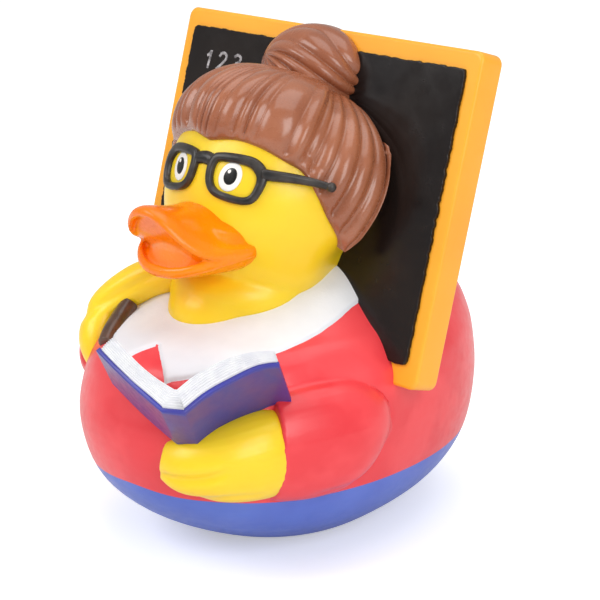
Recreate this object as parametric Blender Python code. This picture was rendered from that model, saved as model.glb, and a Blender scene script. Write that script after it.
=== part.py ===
"""Hollow bath duck dressed as a teacher, with a book and a chalkboard, moulded in one piece.

The duck faces -Y, its left side is +X, and it stands on Z = 0. All sizes are in metres.
"""

import math

import bmesh
import bpy
from mathutils import Vector

# Body bowl: heights of its sections, and at each the reach to the front, the back and the side.
BODY_SECTIONS = (
    (0.0000, -0.0230, 0.0165, 0.0160),
    (0.0035, -0.0325, 0.0265, 0.0228),
    (0.0090, -0.0410, 0.0340, 0.0280),
    (0.0165, -0.0474, 0.0386, 0.0314),
    (0.0270, -0.0504, 0.0404, 0.0329),
    (0.0360, -0.0485, 0.0401, 0.0318),
    (0.0412, -0.0455, 0.0390, 0.0297),
    (0.0440, -0.0405, 0.0376, 0.0280),
    (0.0460, -0.0330, 0.0358, 0.0262),
    (0.0495, -0.0240, 0.0320, 0.0225),
    (0.0535, -0.0160, 0.0230, 0.0175),
    (0.0565, -0.0080, 0.0100, 0.0100),
)
BODY_TOP = BODY_SECTIONS[-1][0]
BODY_MIDDLE = -0.0055
BODY_SEGMENTS = 48
BODY_SQUARENESS = 2.1
PAINT_LINE_SECTION = 3

# Head: an egg over the body, and what lies on it is placed from the same centre and radii.
HEAD_RISE = 0.0095
HEAD_CENTRE = Vector((0.0, -0.0080, BODY_TOP + HEAD_RISE))
HEAD_RADII = Vector((0.0210, 0.0214, 0.0240))
JAW_DROP = 0.0020
JAW_DEPTH = 0.0070
JAW_FRONT = 0.0100
JAW_LENGTH = 0.0140
JAW_TAPER = 0.2
HEAD_SEGMENTS = 40
HEAD_RINGS = 20

# Neck: the bare chest that shows inside the collar.
NECK_DROP = 0.0095
NECK_CENTRE = Vector((0.0, -0.0115, BODY_TOP - NECK_DROP))
NECK_RADII = Vector((0.0148, 0.0208, 0.0110))
NECK_SEGMENTS = 32
NECK_RINGS = 12

# Chalkboard: its size, where its front face's top edge runs, and how far it leans back.
BOARD_WIDTH = 0.0780
BOARD_LENGTH = 0.0645
BOARD_THICKNESS = 0.0065
BOARD_TOP_Y = 0.0082
BOARD_TOP_Z = 0.0980
BOARD_LEAN = math.radians(16.6)
BOARD_CORNER = 0.0019
CORNER_STEPS = 3
BOARD_BEVEL = 0.0006
FRAME_SIDE = 0.0030
FRAME_TOP = 0.0037
FRAME_BOTTOM = 0.0050
PANEL_PROUD = 0.0008
PANEL_CORNER = 0.0012

# Hair: rises of the hairline over the head's centre at angles from the face, and its thickness.
HAIRLINE = (
    (0.0, 0.0148),
    (20.0, 0.0154),
    (38.0, 0.0142),
    (54.0, 0.0116),
    (62.0, 0.0097),
    (68.0, 0.0058),
    (73.0, 0.0015),
    (80.0, -0.0030),
    (84.0, -0.0058),
    (88.0, -0.0034),
    (97.0, 0.0002),
    (110.0, 0.0034),
    (130.0, 0.0050),
    (180.0, 0.0050),
)
FRINGE_THICKNESS = ((0.0, 0.0010), (0.06, 0.0028), (0.25, 0.0050), (0.5, 0.0036), (0.8, 0.0014), (1.0, 0.0004))
SIDE_THICKNESS = ((0.0, 0.0012), (0.12, 0.0036), (0.4, 0.0056), (0.7, 0.0036), (1.0, 0.0004))
HAIR_STRANDS = 30
HAIR_ROWS = 9
STRAND_DEPTH = 0.0006
CROWN_DIRECTION = Vector((0.0, 0.32, 0.95))
CROWN_SHARE = 0.93
BUN_BACK = 0.0130
BUN_RISE = 0.0243
BUN_CENTRE = HEAD_CENTRE + Vector((0.0004, BUN_BACK, BUN_RISE))
BUN_RADII = Vector((0.0104, 0.0104, 0.0087))
BUN_ROWS = 12
BUN_GROOVES = 7
BUN_TWIST = 2.8
BUN_GROOVE_DEPTH = 0.0006

# Eyes and glasses, placed across from the middle and by rises over the head's centre.
EYE_ACROSS = 0.00645
EYE_HEIGHT = HEAD_CENTRE.z + 0.0093
EYE_HALF_WIDTH = 0.0023
EYE_HALF_HEIGHT = 0.0027
PUPIL_HALF_WIDTH = 0.0012
PUPIL_HALF_HEIGHT = 0.0016
EYE_POINTS = 20
EYE_PROUD = 0.00012
PUPIL_PROUD = 0.00025
LENS_ACROSS = 0.0069
LENS_HEIGHT = HEAD_CENTRE.z + 0.0091
LENS_HALF_WIDTH = 0.0059
LENS_HALF_HEIGHT = 0.0045
LENS_CORNER = 0.0020
RIM_WIDTH = 0.0016
GLASSES_PROUD = 0.0012
GLASSES_SUNK = 0.0012
BAND_PROUD = 0.0010
BAND_SUNK = 0.0015
BRIDGE_HEIGHT = HEAD_CENTRE.z + 0.0113
BRIDGE_HALF_HEIGHT = 0.0011
TEMPLE_START = HEAD_CENTRE.z + 0.0100
TEMPLE_END = HEAD_CENTRE.z + 0.0062
TEMPLE_END_ANGLE = math.radians(74.0)
TEMPLE_HALF_HEIGHT = 0.0010
TEMPLE_LIFT = 0.0036
TEMPLE_STEPS = 6

# Bill: two lips that meet at corners on the cheeks.
BILL_CORNER_ACROSS = 0.0123
BILL_CORNER_Y = HEAD_CENTRE.y - HEAD_RADII.y + 0.0049
BILL_CORNER_Z = HEAD_CENTRE.z - 0.0042
BILL_ROOT_ACROSS = 0.0089
BILL_ROOT_Y = BILL_CORNER_Y + 0.0045
BILL_SQUARENESS = 2.25
LIP_ROUNDING = 0.7
LIP_CORNER_SHARE = 0.75
UPPER_STEPS = 18
LOWER_STEPS = 21
UPPER_REACH = 0.0166
UPPER_TIP_RISE = 0.0081
UPPER_TIP_SHARPNESS = 4.5
UPPER_ROOT_RISE = 0.0068
UPPER_THICKNESS = 0.0026
UPPER_BOW = -0.0010
UPPER_BOW_PLACE = 0.55
UPPER_CHIN_BACK = 0.0050
UPPER_CHIN_DROP = 0.0062
LOWER_REACH = 0.0138
LOWER_TIP_DROP = 0.0036
LOWER_ROLL = 0.0015
LOWER_ROOT_DEPTH = 0.0020
LOWER_BELLY = 0.0016
SPOON_BACK = 0.0050
SPOON_RISE = 0.0082
SPOON_ROOT_RISE = 0.0056

# Collar: its outline seen from above, and how proud it stands of the jacket.
COLLAR_OUTLINE = (
    (0.0210, 0.0000),
    (0.0228, -0.0160),
    (0.0212, -0.0281),
    (0.0150, -0.0400),
    (0.0110, -0.0455),
    (0.0070, -0.0470),
    (0.0018, -0.0412),
    (-0.0040, -0.0470),
    (-0.0092, -0.0430),
    (-0.0195, -0.0275),
    (-0.0225, -0.0150),
    (-0.0210, 0.0000),
)
COLLAR_PROUD = 0.0009
COLLAR_LIFT = 0.0007
COLLAR_LOWEST = BODY_TOP - 0.0175

# Arms and hands: middle points with their radii outward and upward.
LEFT_SLEEVE = (
    ((0.0268, -0.0080, 0.0310), 0.0040, 0.0050),
    ((0.0280, -0.0120, 0.0315), 0.0068, 0.0090),
    ((0.0278, -0.0210, 0.0305), 0.0078, 0.0112),
    ((0.0260, -0.0290, 0.0288), 0.0072, 0.0106),
    ((0.0245, -0.0328, 0.0280), 0.0066, 0.0094),
)
LEFT_HAND = (
    ((0.0262, -0.0290, 0.0280), 0.0050, 0.0070),
    ((0.0240, -0.0352, 0.0277), 0.0070, 0.0098),
    ((0.0200, -0.0420, 0.0270), 0.0070, 0.0095),
    ((0.0150, -0.0468, 0.0264), 0.0054, 0.0070),
    ((0.0113, -0.0488, 0.0264), 0.0026, 0.0036),
)
RIGHT_SLEEVE = (
    ((-0.0268, -0.0080, 0.0310), 0.0040, 0.0050),
    ((-0.0280, -0.0130, 0.0330), 0.0060, 0.0085),
    ((-0.0270, -0.0220, 0.0340), 0.0060, 0.0095),
    ((-0.0235, -0.0300, 0.0350), 0.0052, 0.0080),
    ((-0.0200, -0.0350, 0.0360), 0.0036, 0.0045),
)
RIGHT_HAND = (
    ((-0.0165, -0.0390, 0.0345), 0.0018, 0.0024),
    ((-0.0200, -0.0370, 0.0390), 0.0036, 0.0040),
    ((-0.0216, -0.0334, 0.0444), 0.0039, 0.0043),
    ((-0.0185, -0.0306, 0.0492), 0.0039, 0.0041),
    ((-0.0135, -0.0275, 0.0523), 0.0039, 0.0040),
    ((-0.0080, -0.0230, 0.0525), 0.0034, 0.0036),
)
STRAP = (
    ((-0.0150, -0.0300, 0.0465), 0.0016, 0.0016),
    ((-0.0158, -0.0342, 0.0470), 0.0019, 0.0019),
    ((-0.0138, -0.0390, 0.0440), 0.0019, 0.0019),
    ((-0.0120, -0.0415, 0.0410), 0.0016, 0.0016),
)
LIMB_SEGMENTS = 16

# Open book: where its spine stands, how it is turned and leans, and its halves' section.
BOOK_SPINE = Vector((0.0167, -0.0484, 0.0305))
BOOK_TURN = math.radians(29.8)
BOOK_LEAN = math.radians(42.5)
BOOK_HEIGHT = 0.0135
COVER_THICKNESS = 0.0009
PAGE_THICKNESS = 0.0040
SPINE_HALF_WIDTH = 0.0021
RIGHT_HALF = ((0.0058, 0.0040), (0.0098, 0.0072), (0.0140, 0.0100), (0.0177, 0.0110))
LEFT_HALF = ((-0.0091, 0.0054), (-0.0154, 0.0105))

SMOOTH_ANGLE = math.radians(35.0)
WELD_DISTANCE = 0.000004

# Inside: the wall of the hollow moulding and the vent in its flat base.
WALL = 0.0022
VENT_RADIUS = 0.0025
HOLLOW_SEGMENTS = 24
HOLLOW_RINGS = 12


def clear_scene():
    for old in list(bpy.data.objects):
        bpy.data.objects.remove(old, do_unlink=True)


def make_material(name, colour, roughness):
    material = bpy.data.materials.new(name)
    material.use_nodes = True
    shader = material.node_tree.nodes["Principled BSDF"]
    shader.inputs["Base Color"].default_value = (*colour, 1.0)
    shader.inputs["Roughness"].default_value = roughness
    material.diffuse_color = (*colour, 1.0)
    return material


def make_object(name, bm, *materials):
    bmesh.ops.recalc_face_normals(bm, faces=bm.faces)
    mesh = bpy.data.meshes.new(name)
    bm.to_mesh(mesh)
    bm.free()
    for material in materials:
        mesh.materials.append(material)
    obj = bpy.data.objects.new(name, mesh)
    bpy.context.scene.collection.objects.link(obj)
    return obj


def loft(rings, capped=True):
    """A skin through rings of equally many points, capped at both ends or closed on itself."""
    bm = bmesh.new()
    rows = [[bm.verts.new(point) for point in ring] for ring in rings]
    following = rows[1:] if capped else rows[1:] + rows[:1]
    for lower, upper in zip(rows, following):
        for i in range(len(lower)):
            j = (i + 1) % len(lower)
            bm.faces.new((lower[i], lower[j], upper[j], upper[i]))
    if capped:
        bm.faces.new(list(reversed(rows[0])))
        bm.faces.new(rows[-1])
    return bm


def combine(target, tool, operation):
    """Joins or cuts target with tool by an exact Boolean, and deletes the tool."""
    modifier = target.modifiers.new("combine", "BOOLEAN")
    modifier.operation = operation
    modifier.solver = "EXACT"
    modifier.material_mode = "TRANSFER"
    modifier.object = tool
    graph = bpy.context.evaluated_depsgraph_get()
    mesh = bpy.data.meshes.new_from_object(target.evaluated_get(graph))
    target.modifiers.clear()
    target.data = mesh
    bm = bmesh.new()
    bm.from_mesh(mesh)
    bmesh.ops.remove_doubles(bm, verts=bm.verts, dist=WELD_DISTANCE)
    bmesh.ops.dissolve_degenerate(bm, edges=bm.edges, dist=WELD_DISTANCE)
    bm.to_mesh(mesh)
    bm.free()
    bpy.data.objects.remove(tool, do_unlink=True)


def along_table(table, position):
    """The value at a position in a table of (position, value) rows, on straight lines."""
    for (start, low), (end, high) in zip(table, table[1:]):
        if position <= end:
            return low + (high - low) * (position - start) / (end - start)
    return table[-1][1]


def round_corners(corners, radius):
    """A closed outline through corners in order, each rounded by an arc of the radius."""
    outline = []
    for i, corner in enumerate(corners):
        here = Vector(corner)
        before = (Vector(corners[i - 1]) - here).normalized()
        after = (Vector(corners[(i + 1) % len(corners)]) - here).normalized()
        half = before.angle(after) / 2.0
        centre = here + (before + after).normalized() * (radius / math.sin(half))
        start = here + before * (radius / math.tan(half)) - centre
        end = here + after * (radius / math.tan(half)) - centre
        for k in range(CORNER_STEPS + 1):
            spoke = start.slerp(end, k / CORNER_STEPS)
            outline.append(centre + spoke.normalized() * radius)
    return outline


def board_plane_y(height, depth):
    """How far back a plane of the board lies at a height, depth behind the front face."""
    behind_top = (height - BOARD_TOP_Z) * math.tan(BOARD_LEAN)
    return BOARD_TOP_Y + behind_top + depth / math.cos(BOARD_LEAN)


def pressed_on_board(point):
    """The point, moved forward where it would lie behind the middle of the board."""
    limit = board_plane_y(point.z, BOARD_THICKNESS / 2.0)
    return Vector((point.x, min(point.y, limit), point.z))


def rounded(cosine, squareness):
    return math.copysign(abs(cosine) ** (2.0 / squareness), cosine)


def body_ring(height, front, back, side, grow=0.0):
    ring = []
    for i in range(BODY_SEGMENTS):
        angle = 2.0 * math.pi * i / BODY_SEGMENTS
        across = rounded(math.cos(angle), BODY_SQUARENESS)
        along = rounded(math.sin(angle), BODY_SQUARENESS)
        reach = back - BODY_MIDDLE if along > 0.0 else BODY_MIDDLE - front
        ring.append((across * (side + grow), BODY_MIDDLE + along * (reach + grow), height))
    return ring


def make_body(red, blue):
    bm = loft([body_ring(*row) for row in BODY_SECTIONS])
    paint_line = BODY_SECTIONS[PAINT_LINE_SECTION][0]
    for face in bm.faces:
        face.material_index = 1 if face.calc_center_median().z < paint_line else 0
    return make_object("duck", bm, red, blue)


def head_point(angle, height, proud=0.0):
    """A point of the head at an angle from the face towards the duck's left, and a height."""
    rise = (height - HEAD_CENTRE.z) / HEAD_RADII.z
    level = math.sqrt(max(1.0 - rise * rise, 0.0))
    across = HEAD_RADII.x * level * math.sin(angle)
    along = -HEAD_RADII.y * level * math.cos(angle)
    offset = Vector((across, along, height - HEAD_CENTRE.z))
    normal = Vector(a / (b * b) for a, b in zip(offset, HEAD_RADII)).normalized()
    return HEAD_CENTRE + offset + normal * proud


def face_angle(across, height):
    """The angle from the face at which the head is as far across, at a height."""
    rise = (height - HEAD_CENTRE.z) / HEAD_RADII.z
    return math.asin(across / (HEAD_RADII.x * math.sqrt(1.0 - rise * rise)))


def eased(share):
    share = min(max(share, 0.0), 1.0)
    return share * share * (3.0 - 2.0 * share)


def jaw_tapered(point):
    """A point of head or neck, drawn in sideways low down and towards the back."""
    low = eased((HEAD_CENTRE.z - JAW_DROP - point.z) / JAW_DEPTH)
    back = eased((point.y - HEAD_CENTRE.y + JAW_FRONT) / JAW_LENGTH)
    return Vector((point.x * (1.0 - JAW_TAPER * low * back), point.y, point.z))


def make_egg(name, centre, radii, segments, rings, material):
    bm = bmesh.new()
    bmesh.ops.create_uvsphere(bm, u_segments=segments, v_segments=rings, radius=1.0)
    for vertex in bm.verts:
        point = centre + Vector(a * b for a, b in zip(vertex.co, radii))
        vertex.co = pressed_on_board(jaw_tapered(point))
    return make_object(name, bm, material)


def head_skin(direction, proud):
    unit = direction.normalized()
    scaled = Vector(a / b for a, b in zip(unit, HEAD_RADII))
    return HEAD_CENTRE + unit * (1.0 / scaled.length + proud)


def make_hair(material):
    """A cap of strands between the hairline and the crown, over a core inside the head."""
    count = 2 * HAIR_STRANDS
    crown = CROWN_DIRECTION.normalized()
    edges = []
    for i in range(count):
        angle = 2.0 * math.pi * i / count
        degrees = abs(math.degrees(angle if angle <= math.pi else angle - 2.0 * math.pi))
        edge = head_point(angle, HEAD_CENTRE.z + along_table(HAIRLINE, degrees)) - HEAD_CENTRE
        edges.append(edge.normalized())
    rings = [[HEAD_CENTRE + edge * (HEAD_RADII.x / 2.0) for edge in edges]]
    for row in range(HAIR_ROWS):
        share = row / (HAIR_ROWS - 1)
        ring = []
        for i, edge in enumerate(edges):
            fringe = max(-edge.y, 0.0)
            side_swell = along_table(SIDE_THICKNESS, share)
            swell = side_swell + (along_table(FRINGE_THICKNESS, share) - side_swell) * fringe
            groove = STRAND_DEPTH if i % 2 and row < HAIR_ROWS - 1 else 0.0
            ring.append(head_skin(edge.slerp(crown, CROWN_SHARE * share), swell - groove))
        rings.append(ring)
    rings = [[pressed_on_board(point) for point in ring] for ring in rings]
    return make_object("hair", loft(rings), material)


def make_bun(material):
    rings = []
    for row in range(1, BUN_ROWS):
        polar = math.pi * row / BUN_ROWS
        ring = []
        for i in range(4 * BUN_GROOVES):
            angle = 2.0 * math.pi * i / (4 * BUN_GROOVES)
            wave = math.cos(BUN_GROOVES * angle + BUN_TWIST * polar)
            level = math.sin(polar)
            depth = BUN_GROOVE_DEPTH * wave * level
            spoke = (math.cos(angle) * level, math.sin(angle) * level, -math.cos(polar))
            point = Vector(a * (b + depth) for a, b in zip(spoke, BUN_RADII))
            ring.append(pressed_on_board(BUN_CENTRE + point))
        rings.append(ring)
    return make_object("bun", loft(rings), material)


def rim_section(across, height, proud, sunk):
    angle = face_angle(across, height)
    return head_point(angle, height, proud), head_point(angle, height, -sunk)


def make_lens_rim(side, material):
    """A raised rim round one lens, following the head."""
    outer = lens_outline(side, 0.0)
    inner = lens_outline(side, RIM_WIDTH)
    sections = []
    for (xo, zo), (xi, zi) in zip(outer, inner):
        top_out, low_out = rim_section(xo, zo, GLASSES_PROUD, GLASSES_SUNK)
        top_in, low_in = rim_section(xi, zi, GLASSES_PROUD, GLASSES_SUNK)
        sections.append((low_out, top_out, top_in, low_in))
    return make_object("lens_rim", loft(sections, capped=False), material)


def lens_outline(side, inset):
    w = LENS_HALF_WIDTH - inset
    h = LENS_HALF_HEIGHT - inset
    corners = ((-w, -h), (w, -h), (w, h), (-w, h))
    placed = [(side * LENS_ACROSS + x, LENS_HEIGHT + z) for x, z in corners]
    return round_corners(placed, LENS_CORNER - inset / 2.0)


def make_band(points, half_height, material):
    """A raised band on the head through (angle, height, proud) points."""
    sections = []
    for angle, height, proud in points:
        top, low = height + half_height, height - half_height
        sections.append((
            head_point(angle, low, -BAND_SUNK),
            head_point(angle, low, proud),
            head_point(angle, top, proud),
            head_point(angle, top, -BAND_SUNK),
        ))
    return make_object("band", loft(sections), material)


def make_bridge(material):
    reach = face_angle(LENS_ACROSS - LENS_HALF_WIDTH + RIM_WIDTH / 2.0, BRIDGE_HEIGHT)
    points = [(reach * step / 2.0, BRIDGE_HEIGHT, BAND_PROUD) for step in (-2, -1, 0, 1, 2)]
    return make_band(points, BRIDGE_HALF_HEIGHT, material)


def make_temple(side, material):
    start = face_angle(LENS_ACROSS + LENS_HALF_WIDTH - RIM_WIDTH / 2.0, TEMPLE_START)
    points = []
    for step in range(TEMPLE_STEPS + 1):
        share = step / TEMPLE_STEPS
        angle = start + (TEMPLE_END_ANGLE - start) * share
        height = TEMPLE_START + (TEMPLE_END - TEMPLE_START) * share
        points.append((side * angle, height, BAND_PROUD + TEMPLE_LIFT * share ** 2))
    return make_band(points, TEMPLE_HALF_HEIGHT, material)


def make_oval(side, half_width, half_height, proud, material):
    """A painted oval of an eye, as a very thin disc on the head."""
    rings = []
    for level in (-GLASSES_SUNK, proud):
        ring = []
        for i in range(EYE_POINTS):
            turn = 2.0 * math.pi * i / EYE_POINTS
            across = side * EYE_ACROSS + half_width * math.cos(turn)
            height = EYE_HEIGHT + half_height * math.sin(turn)
            ring.append(head_point(face_angle(across, height), height, level))
        rings.append(ring)
    return make_object("oval", loft(rings), material)


def bill_rim(turn, reach):
    """A point of the bill's plan at a turn from cheek to cheek, and the root behind it."""
    power = 2.0 / BILL_SQUARENESS
    across = math.copysign(abs(math.cos(turn)) ** power, math.cos(turn))
    along = BILL_CORNER_Y - reach * abs(math.sin(turn)) ** power
    rim = Vector((BILL_CORNER_ACROSS * across, along, BILL_CORNER_Z))
    root = Vector((BILL_ROOT_ACROSS * across, BILL_ROOT_Y, BILL_CORNER_Z))
    return rim, root


def upper_section(turn):
    """A closed section of the upper lip, with a steep face under its round rim."""
    lift = abs(math.sin(turn))
    rim, root = bill_rim(turn, UPPER_REACH)
    root.z += UPPER_ROOT_RISE * lift
    rim.z += UPPER_TIP_RISE * lift ** UPPER_TIP_SHARPNESS
    outward = (rim - root).normalized()
    level = Vector((outward.x, outward.y, 0.0))
    half = UPPER_THICKNESS * (LIP_CORNER_SHARE + (1.0 - LIP_CORNER_SHARE) * lift) / 2.0
    up = Vector((0.0, 0.0, half))
    middle = root.lerp(rim, UPPER_BOW_PLACE) + Vector((0.0, 0.0, UPPER_BOW * lift))
    nose = outward * half * LIP_ROUNDING
    back = 0.4 + 0.6 * lift
    chin = rim - level * UPPER_CHIN_BACK * back - up * 1.2 - Vector((0.0, 0.0, UPPER_CHIN_DROP * lift ** 2))
    points = [root + up, middle + up, rim + up, rim + nose + up * LIP_ROUNDING]
    points += [rim + outward * half, rim + nose - up * LIP_ROUNDING, rim - up]
    points += [rim - level * half * back - up * 1.35, chin, chin - level * half - up * 0.1, root - up]
    return points


def lower_section(turn):
    """A closed section of the lower lip: a roll with a spoon-shaped face behind it."""
    lift = abs(math.sin(turn))
    rim, root = bill_rim(turn, LOWER_REACH)
    rim.z -= LOWER_TIP_DROP * lift ** 2
    outward = Vector((rim.x - root.x, rim.y - root.y, 0.0)).normalized()
    roll = LOWER_ROLL * (LIP_CORNER_SHARE + (1.0 - LIP_CORNER_SHARE) * lift)
    rise = Vector((0.0, 0.0, 1.0))
    depth = LOWER_ROOT_DEPTH + LOWER_BELLY * abs(math.sin(2.0 * turn))
    share = 0.1 + 0.9 * lift
    back = 0.5 + 0.5 * lift
    points = [root - rise * depth, root.lerp(rim, UPPER_BOW_PLACE) - rise * depth, rim - rise * roll]
    points += [rim + (outward - rise) * roll * LIP_ROUNDING, rim + outward * roll]
    points += [rim + (outward + rise) * roll * LIP_ROUNDING, rim + rise * roll]
    points += [rim - outward * roll + rise * roll * 0.35, rim - outward * SPOON_BACK * back + rise * SPOON_RISE * share]
    points += [root + rise * SPOON_ROOT_RISE * share]
    return points


def make_lip(name, section, steps, material):
    sections = [section(math.pi * i / steps) for i in range(steps + 1)]
    return make_object(name, loft(sections), material)


def make_collar(material):
    """The body, grown a little and cut to the collar's outline seen from above."""
    rings = []
    for height, front, back, side in BODY_SECTIONS:
        rings.append(body_ring(height + COLLAR_LIFT, front, back, side, COLLAR_PROUD))
    collar = make_object("collar", loft(rings), material)
    levels = (COLLAR_LOWEST, HEAD_CENTRE.z)
    prism = loft([[(x, y, z) for x, y in COLLAR_OUTLINE] for z in levels])
    combine(collar, make_object("collar_outline", prism, material), "INTERSECT")
    return collar


def make_limb(name, stations, material):
    """A soft arm through middle points, each with a radius outward and one upward."""
    middles = [Vector(point) for point, _, _ in stations]
    side = (middles[1] - middles[0]).cross(Vector((0.0, 0.0, 1.0)))
    rings = []
    for i, (_, outward, upward) in enumerate(stations):
        ahead = middles[min(i + 1, len(middles) - 1)] - middles[max(i - 1, 0)]
        ahead.normalize()
        side = (side - ahead * side.dot(ahead)).normalized()
        lift = side.cross(ahead)
        ring = []
        for k in range(LIMB_SEGMENTS):
            turn = 2.0 * math.pi * k / LIMB_SEGMENTS
            ring.append(middles[i] + side * outward * math.cos(turn) + lift * upward * math.sin(turn))
        rings.append(ring)
    return make_object(name, loft(rings), material)


def book_point(across, back, up):
    """A point of the book: across and back from its spine, and up along the spine."""
    width = Vector((math.cos(BOOK_TURN), math.sin(BOOK_TURN), 0.0))
    front = Vector((math.sin(BOOK_TURN), -math.cos(BOOK_TURN), 0.0))
    spine = front * math.sin(BOOK_LEAN) + Vector((0.0, 0.0, math.cos(BOOK_LEAN)))
    inward = Vector((0.0, 0.0, math.sin(BOOK_LEAN))) - front * math.cos(BOOK_LEAN)
    return BOOK_SPINE + width * across + inward * back + spine * up


def book_outline(near, far):
    """The book's section between two depths behind its cover's outer face."""
    cover = [*reversed(LEFT_HALF), (-SPINE_HALF_WIDTH, 0.0), (SPINE_HALF_WIDTH, 0.0), *RIGHT_HALF]
    front = [(x, y + near) for x, y in cover]
    behind = [*reversed(LEFT_HALF), (0.0, 0.0), *RIGHT_HALF]
    return front + [(x, y + far) for x, y in reversed(behind)]


def make_book(covers, pages):
    """The cover and the block of pages, each along the spine."""
    cover = loft([[book_point(x, y, up) for x, y in book_outline(0.0, 2.0 * COVER_THICKNESS)]
                  for up in (0.0, BOOK_HEIGHT - COVER_THICKNESS / 2.0)])
    far = COVER_THICKNESS + PAGE_THICKNESS
    block = loft([[book_point(x, y, up) for x, y in book_outline(COVER_THICKNESS, far)]
                  for up in (COVER_THICKNESS, BOOK_HEIGHT)])
    return make_object("cover", cover, covers), make_object("pages", block, pages)


def board_point(across, up, out):
    """A point of the board: across and up from its front top edge's middle, out of its front."""
    y = BOARD_TOP_Y + up * math.sin(BOARD_LEAN) - out * math.cos(BOARD_LEAN)
    z = BOARD_TOP_Z + up * math.cos(BOARD_LEAN) + out * math.sin(BOARD_LEAN)
    return Vector((across, y, z))


def slab(left, right, bottom, top, corner, levels):
    """A rounded plate of the board at levels of (out, inset)."""
    rings = []
    for out, inset in levels:
        corners = ((left + inset, bottom + inset), (right - inset, bottom + inset),
                   (right - inset, top - inset), (left + inset, top - inset))
        outline = round_corners(corners, corner - inset)
        rings.append([board_point(x, up, out) for x, up in outline])
    return loft(rings)


def make_board(frame, slate):
    half = BOARD_WIDTH / 2.0
    back = -BOARD_THICKNESS
    levels = ((back, BOARD_BEVEL), (back + BOARD_BEVEL, 0.0), (-BOARD_BEVEL, 0.0), (0.0, BOARD_BEVEL))
    board = make_object("board", slab(-half, half, -BOARD_LENGTH, 0.0, BOARD_CORNER, levels), frame)
    inner = half - FRAME_SIDE
    levels = ((-PANEL_PROUD, 0.0), (PANEL_PROUD, 0.0))
    panel = slab(-inner, inner, FRAME_BOTTOM - BOARD_LENGTH, -FRAME_TOP, PANEL_CORNER, levels)
    return board, make_object("panel", panel, slate)


def hollow_body(material):
    """The inside of the bowl: its sections drawn in by the wall on every side."""
    middle = BODY_SECTIONS[-1][0] / 2.0
    squeeze = 1.0 - WALL / middle
    rings = []
    for height, front, back, side in BODY_SECTIONS:
        rings.append(body_ring(middle + (height - middle) * squeeze, front, back, side, -WALL))
    return make_object("hollow", loft(rings), material)


def make_hollow(material):
    """One space inside body, neck, head and board, with a vent through the flat base."""
    hollow = hollow_body(material)
    wall = Vector((WALL, WALL, WALL))
    parts = []
    for centre, radii in ((HEAD_CENTRE, HEAD_RADII), (NECK_CENTRE, NECK_RADII)):
        parts.append(make_egg("inside", centre, radii - wall, HOLLOW_SEGMENTS, HOLLOW_RINGS, material))
    half = BOARD_WIDTH / 2.0 - WALL
    levels = ((WALL - BOARD_THICKNESS, 0.0), (-WALL, 0.0))
    inside = slab(-half, half, WALL - BOARD_LENGTH, -WALL, BOARD_CORNER / 2.0, levels)
    parts.append(make_object("hollow_board", inside, material))
    rings = []
    for height in (-WALL, HEAD_CENTRE.z / 2.0):
        ring = []
        for i in range(HOLLOW_SEGMENTS):
            turn = 2.0 * math.pi * i / HOLLOW_SEGMENTS
            ring.append((VENT_RADIUS * math.cos(turn), BODY_MIDDLE + VENT_RADIUS * math.sin(turn), height))
        rings.append(ring)
    parts.append(make_object("vent", loft(rings), material))
    for part in parts:
        combine(hollow, part, "UNION")
    return hollow


def main():
    clear_scene()
    red = make_material("jacket_red", (0.80, 0.09, 0.10), 0.35)
    blue = make_material("base_blue", (0.12, 0.19, 0.60), 0.40)
    yellow = make_material("duck_yellow", (0.95, 0.75, 0.05), 0.40)
    orange = make_material("bill_orange", (0.95, 0.30, 0.02), 0.25)
    brown = make_material("hair_brown", (0.33, 0.12, 0.06), 0.30)
    black = make_material("glasses_black", (0.02, 0.02, 0.02), 0.35)
    white = make_material("collar_white", (0.85, 0.85, 0.85), 0.50)
    cover = make_material("book_blue", (0.08, 0.06, 0.30), 0.35)
    frame = make_material("frame_yellow", (0.95, 0.45, 0.05), 0.40)
    slate = make_material("slate_black", (0.01, 0.01, 0.01), 0.15)
    strap = make_material("strap_brown", (0.08, 0.03, 0.01), 0.30)
    duck = make_body(red, blue)
    pieces = [*make_board(frame, slate), make_collar(white)]
    pieces.append(make_egg("head", HEAD_CENTRE, HEAD_RADII, HEAD_SEGMENTS, HEAD_RINGS, yellow))
    pieces.append(make_egg("neck", NECK_CENTRE, NECK_RADII, NECK_SEGMENTS, NECK_RINGS, yellow))
    pieces += [make_hair(brown), make_bun(brown)]
    pieces.append(make_lip("upper_lip", upper_section, UPPER_STEPS, orange))
    pieces.append(make_lip("lower_lip", lower_section, LOWER_STEPS, orange))
    for side in (1.0, -1.0):
        pieces.append(make_oval(side, EYE_HALF_WIDTH, EYE_HALF_HEIGHT, EYE_PROUD, white))
        pieces.append(make_oval(side, PUPIL_HALF_WIDTH, PUPIL_HALF_HEIGHT, PUPIL_PROUD, black))
        pieces.append(make_lens_rim(side, black))
        pieces.append(make_temple(side, black))
    pieces.append(make_bridge(black))
    pieces += [make_limb("left_sleeve", LEFT_SLEEVE, red), make_limb("right_sleeve", RIGHT_SLEEVE, red)]
    pieces += [make_limb("left_hand", LEFT_HAND, yellow), make_limb("strap", STRAP, strap)]
    pieces.append(make_limb("right_hand", RIGHT_HAND, yellow))
    pieces += make_book(cover, white)
    for piece in pieces:
        combine(duck, piece, "UNION")
    combine(duck, make_hollow(red), "DIFFERENCE")
    duck.data.shade_smooth()
    duck.data.set_sharp_from_angle(angle=SMOOTH_ANGLE)


main()
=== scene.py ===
"""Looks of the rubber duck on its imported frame.

Sizes are in millimetres until a mesh is made. The duck faces -Y, and its left side is +X.
"""

import math

import bmesh
import bpy
import numpy as np
from mathutils import Matrix, Vector


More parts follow.
